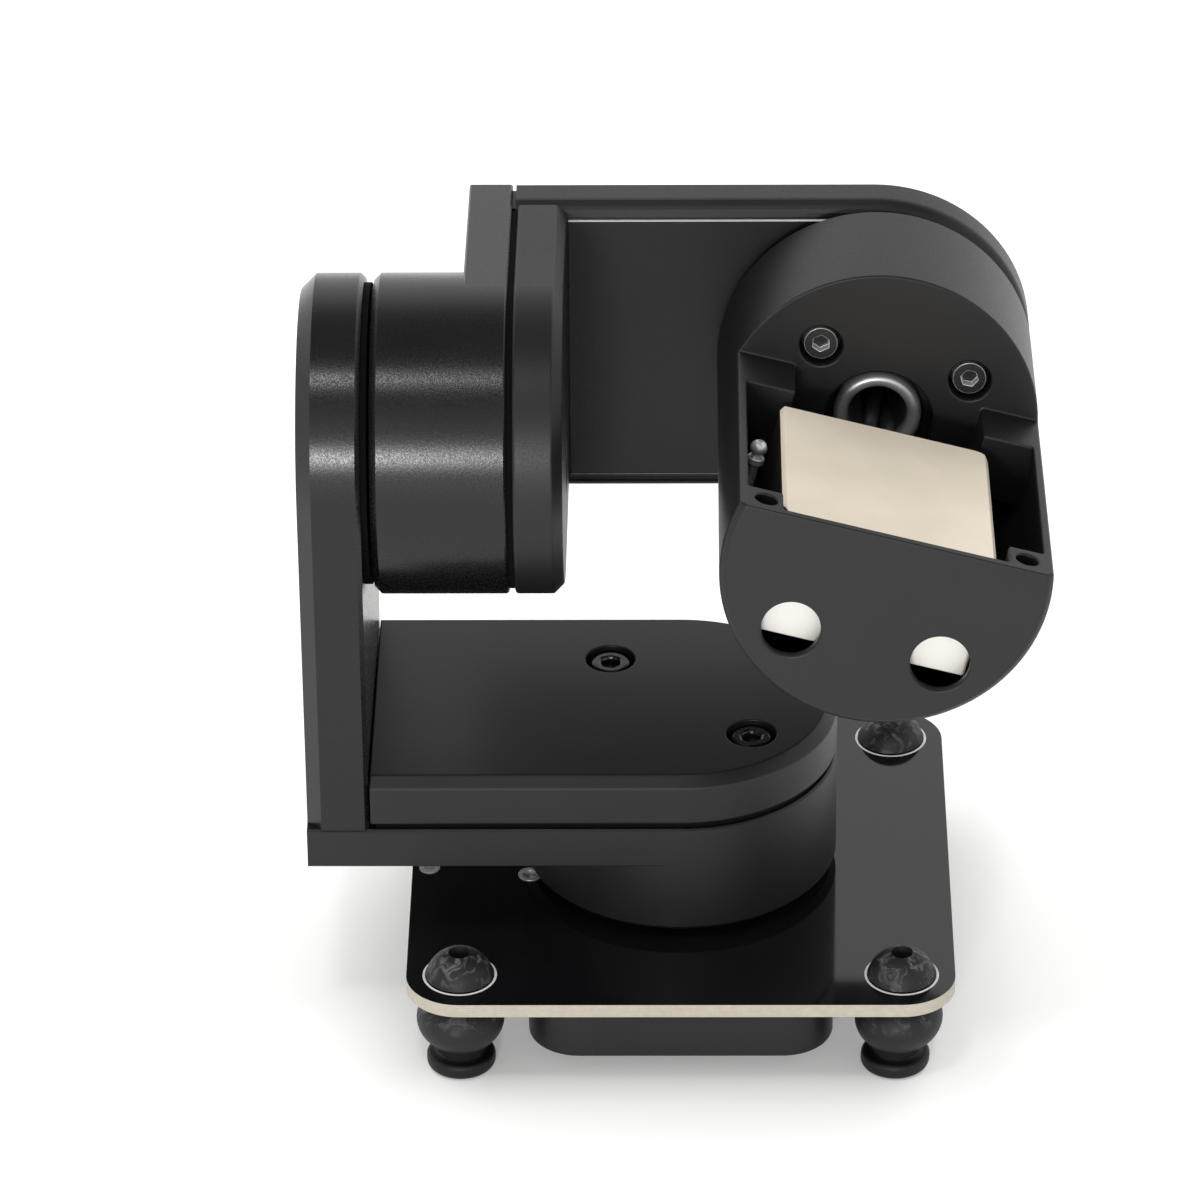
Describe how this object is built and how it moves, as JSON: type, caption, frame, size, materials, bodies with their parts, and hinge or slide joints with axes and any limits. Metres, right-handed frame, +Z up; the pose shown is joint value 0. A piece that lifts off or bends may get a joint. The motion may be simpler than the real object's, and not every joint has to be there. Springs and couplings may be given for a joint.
{
  "type": "three-axis camera gimbal",
  "caption": "Motorised camera gimbal with yaw, roll and pitch motors in flat bevelled arms, on a damped base plate, with an open cradle for a small camera.",
  "frame": {"origin": "on the yaw axis, at the plane of the damper feet", "axes": "+Z up along the yaw axis; +X from the upright arm towards the pitch axis; the camera housing's closed end faces -Y"},
  "size_m": [0.099, 0.0825, 0.1036],
  "materials": {
    "anodised_black": "bead-blasted and black anodised, satin",
    "plate_laminate": "glass-fibre laminate with a black glossy mask",
    "damper_rubber": "soft moulded rubber, matt",
    "circuit_board": "green solder mask",
    "steel": "turned steel",
    "black_screw": "blackened steel",
    "blackened_steel": "phosphated black, dull",
    "lamination": "stacked laminations",
    "copper": "enamelled copper wire",
    "magnet": "nickel plated",
    "champagne_metal": "champagne, satin",
    "wire_sheath": "soft insulation"
  },
  "bodies": {
    "base": {"base_plate": "plate_laminate", "plate_eyelets": "steel", "damper_front_left": "damper_rubber", "damper_front_right": "damper_rubber", "damper_rear_left": "damper_rubber", "damper_rear_right": "damper_rubber", "controller_case": "anodised_black", "controller_board": "circuit_board", "case_screws": "black_screw", "yaw_stator_hub": "blackened_steel", "yaw_stator_core": "lamination", "yaw_windings": "copper", "yaw_bearings": "steel", "yaw_hub_screws": "black_screw"},
    "yaw_stage": {"yaw_arm": "anodised_black", "yaw_rotor_bell": "blackened_steel", "yaw_magnets": "magnet", "yaw_shaft": "steel", "yaw_spacer": "blackened_steel", "yaw_cover": "anodised_black", "yaw_cover_screws": "black_screw", "upright_arm": "anodised_black", "upright_arm_screws": "black_screw", "roll_stator_hub": "blackened_steel", "roll_stator_core": "lamination", "roll_windings": "copper", "roll_bearings": "steel", "roll_hub_screws": "black_screw"},
    "roll_stage": {"roll_arm": "anodised_black", "roll_rotor_bell": "blackened_steel", "roll_magnets": "magnet", "roll_shaft": "steel", "roll_spacer": "blackened_steel", "roll_cover": "anodised_black", "roll_cover_screws": "black_screw", "back_arm": "anodised_black", "back_arm_panel": "anodised_black", "back_arm_screws": "black_screw", "pitch_stator_hub": "blackened_steel", "pitch_stator_core": "lamination", "pitch_windings": "copper", "pitch_bearings": "steel", "pitch_hub_screws": "black_screw"},
    "camera_stage": {"camera_housing": "anodised_black", "pitch_rotor_bell": "blackened_steel", "pitch_magnets": "magnet", "pitch_shaft": "steel", "housing_screws": "black_screw", "camera_block": "champagne_metal", "block_screws": "black_screw", "clamp_post": "steel", "shaft_wires": "wire_sheath"}
  },
  "joints": [
    {"name": "yaw_turn", "type": "hinge", "parent": "base", "child": "yaw_stage", "pos_m": [0, 0, 0.02], "axis": [0, 0, 1], "range_deg": [-160, 160]},
    {"name": "roll_turn", "type": "hinge", "parent": "yaw_stage", "child": "roll_stage", "pos_m": [-0.03, 0, 0.082], "axis": [1, 0, 0], "range_deg": [-40, 44]},
    {"name": "pitch_turn", "type": "hinge", "parent": "roll_stage", "child": "camera_stage", "pos_m": [0.0267, 0.01735, 0.08063], "axis": [0, 0.9969, -0.0785], "range_deg": [-120, 120]}
  ]
}
